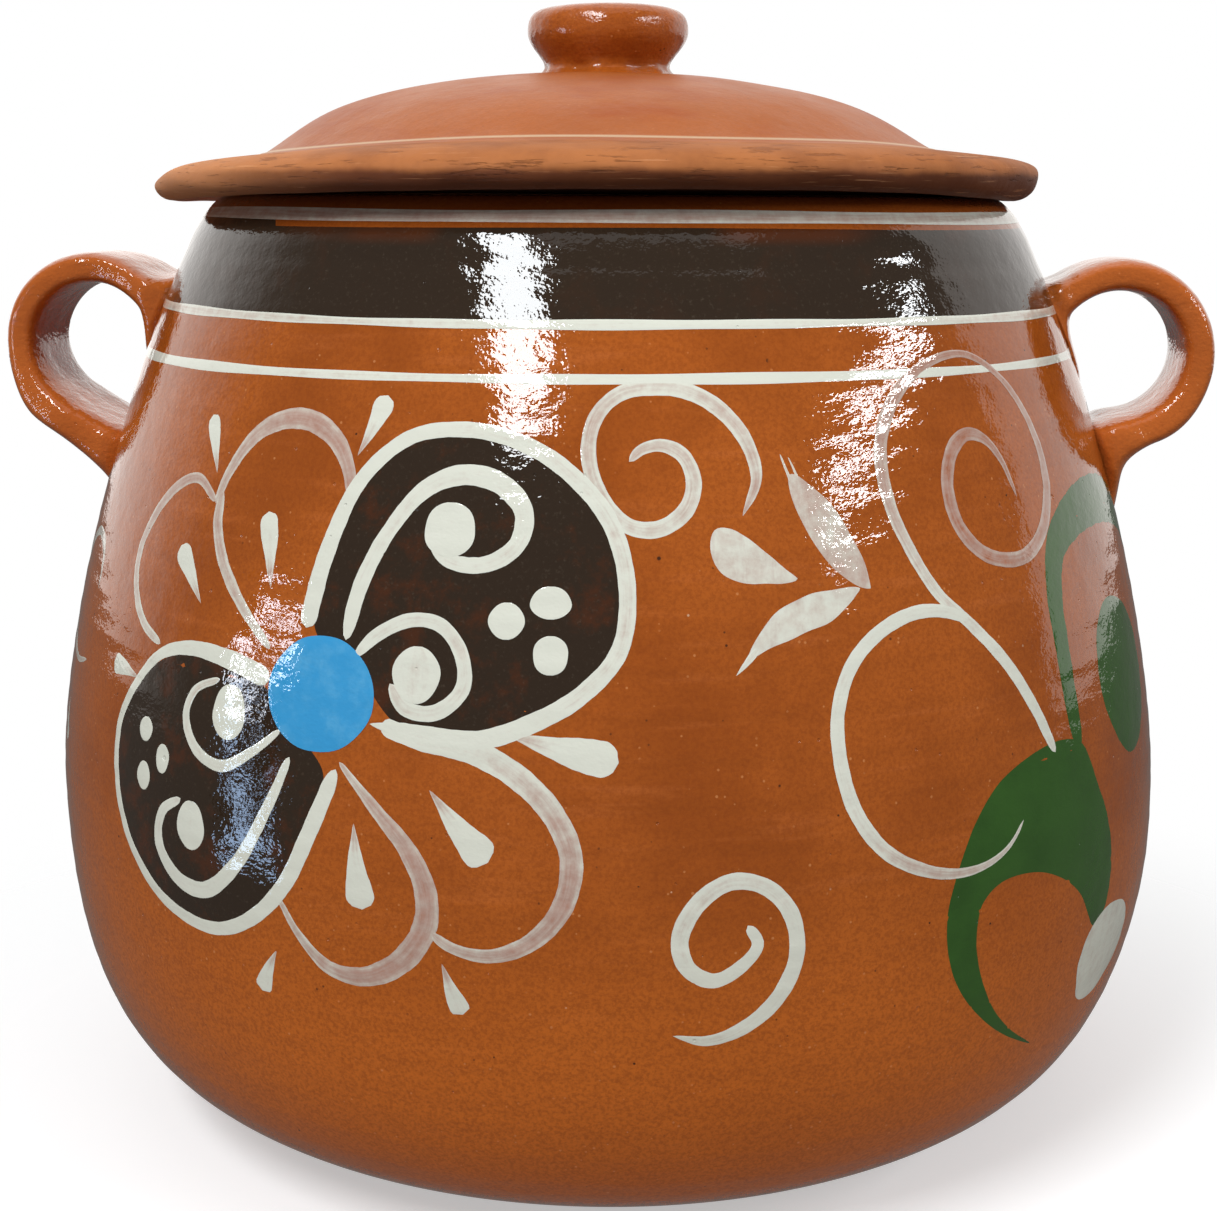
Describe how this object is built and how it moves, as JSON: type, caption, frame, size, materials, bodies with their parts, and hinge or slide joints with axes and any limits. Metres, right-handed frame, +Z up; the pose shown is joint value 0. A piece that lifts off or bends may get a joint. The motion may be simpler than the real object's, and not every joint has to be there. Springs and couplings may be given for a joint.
{
  "type": "lidded earthenware bean pot",
  "caption": "Round-bellied glazed earthenware cooking pot (mexican olla) with looped strap handles, a loose domed lid with a button knob, and hand-painted slip flowers and scrolls.",
  "frame": {"origin": "centre of the flat foot, on the surface that the pot stands on", "axes": "+Z up along the pot's axis, -Y towards the painted front, +X through the right handle's eye plane"},
  "size_m": [0.2932, 0.2696, 0.266],
  "materials": {
    "glazed_clay": "clear gloss glaze over orange terracotta",
    "handle_clay": "gloss glaze, a little darker where it pools",
    "lid_clay": "thin gloss glaze on the dome, matte bare clay on the flange",
    "knob_clay": "gloss glaze",
    "bare_clay": "matte unglazed terracotta",
    "black_slip": "brown-black slip under gloss glaze",
    "white_slip": "raised white slip, thin strokes translucent",
    "blue_slip": "sky-blue slip under gloss glaze",
    "green_slip": "leaf-green slip under gloss glaze"
  },
  "bodies": {
    "olla": {"pot": "glazed_clay", "handle_left": "handle_clay", "handle_right": "handle_clay"},
    "lid": {"lid": "lid_clay", "lid_ring": "bare_clay", "lid_knob": "knob_clay"}
  },
  "joints": [
    {"name": "lid_lift", "type": "slide", "parent": "olla", "child": "lid", "axis": [0, 0, 1], "range_m": [0, 0.15]}
  ]
}
